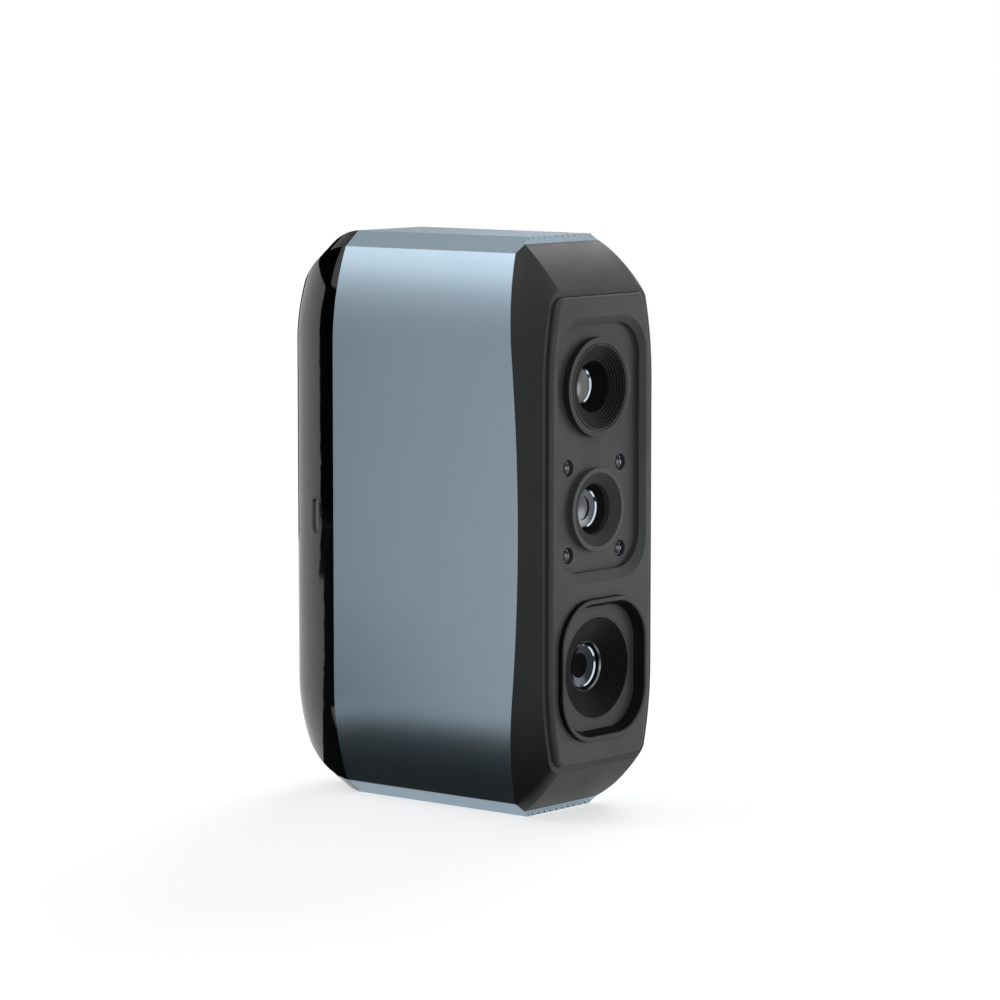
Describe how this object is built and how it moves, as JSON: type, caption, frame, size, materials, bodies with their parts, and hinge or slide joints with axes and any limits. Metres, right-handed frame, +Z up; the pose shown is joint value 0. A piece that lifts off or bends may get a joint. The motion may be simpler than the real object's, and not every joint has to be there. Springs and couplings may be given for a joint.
{
  "type": "desktop 3d scanner",
  "caption": "Compact structured-light 3D scanner: metal sleeve, tapered lens panel with a hooded projector, rounded back cover with a press key, tripod socket below.",
  "frame": {"origin": "mouth of the tripod socket, in the middle of the lower end face that the scanner stands on", "axes": "+Z up along the long side, lenses look along -Y, +Y to the back cover, X across the thickness with the key on the -X side"},
  "size_m": [0.0374, 0.0759, 0.12],
  "materials": {
    "anodised_sleeve": "satin blue-grey anodising",
    "cap_black": "fine matte black moulding",
    "panel_black": "soft matte black coating",
    "cover_gloss": "high gloss black",
    "key_gloss": "high gloss black, dished",
    "lens_black": "black anodised turnings",
    "lens_glass": "coated optical glass",
    "rim_steel": "bright turned ring",
    "lamp_clear": "clear moulded epoxy",
    "holder_black": "glass-filled black",
    "board_green": "solder-masked laminate",
    "chip_black": "moulded black",
    "lamp_yellow": "phosphor-coated emitter",
    "bench_metal": "milled, clear anodised",
    "screw_steel": "zinc plated",
    "shield_tin": "tinned sheet",
    "insert_steel": "turned stainless steel",
    "seal_black": "adhesive foam"
  },
  "bodies": {
    "scanner": {"back_cover": "cover_gloss", "bench_screws": "screw_steel", "board_connectors": "chip_black", "bottom_vent_plate": "anodised_sleeve", "camera_screws": "screw_steel", "front_cap": "cap_black", "key_board": "board_green", "key_board_screws": "screw_steel", "lens_panel": "panel_black", "lighting_board": "board_green", "lighting_board_screws": "screw_steel", "lighting_diodes": "lamp_clear", "lower_camera_board": "board_green", "lower_image_sensor": "chip_black", "lower_lens_barrel": "lens_black", "lower_lens_bezel": "lens_black", "lower_lens_glass": "lens_glass", "lower_lens_holder": "holder_black", "main_board": "board_green", "main_board_screws": "screw_steel", "optical_bench": "bench_metal", "panel_seal": "seal_black", "processor_shield": "shield_tin", "projector_baffle": "lens_black", "projector_engine": "holder_black", "projector_heat_sink": "bench_metal", "projector_hood": "lens_black", "projector_lamp": "lamp_yellow", "projector_lamp_board": "board_green", "projector_lens_barrel": "lens_black", "projector_lens_glass": "lens_glass", "projector_lens_rim": "rim_steel", "sleeve": "anodised_sleeve", "switch_body": "chip_black", "top_vent_plate": "anodised_sleeve", "tripod_insert": "insert_steel", "upper_camera_board": "board_green", "upper_image_sensor": "chip_black", "upper_lens_barrel": "lens_black", "upper_lens_bezel": "lens_black", "upper_lens_glass": "lens_glass", "upper_lens_holder": "holder_black", "usb_board": "board_green", "usb_socket": "shield_tin"},
    "key": {"power_key": "key_gloss", "switch_plunger": "chip_black"}
  },
  "joints": [
    {"name": "key_press", "type": "slide", "parent": "scanner", "child": "key", "axis": [0.9397, -0.342, 0], "range_m": [0, 0.0004], "stiffness_N_per_m": 1500}
  ]
}
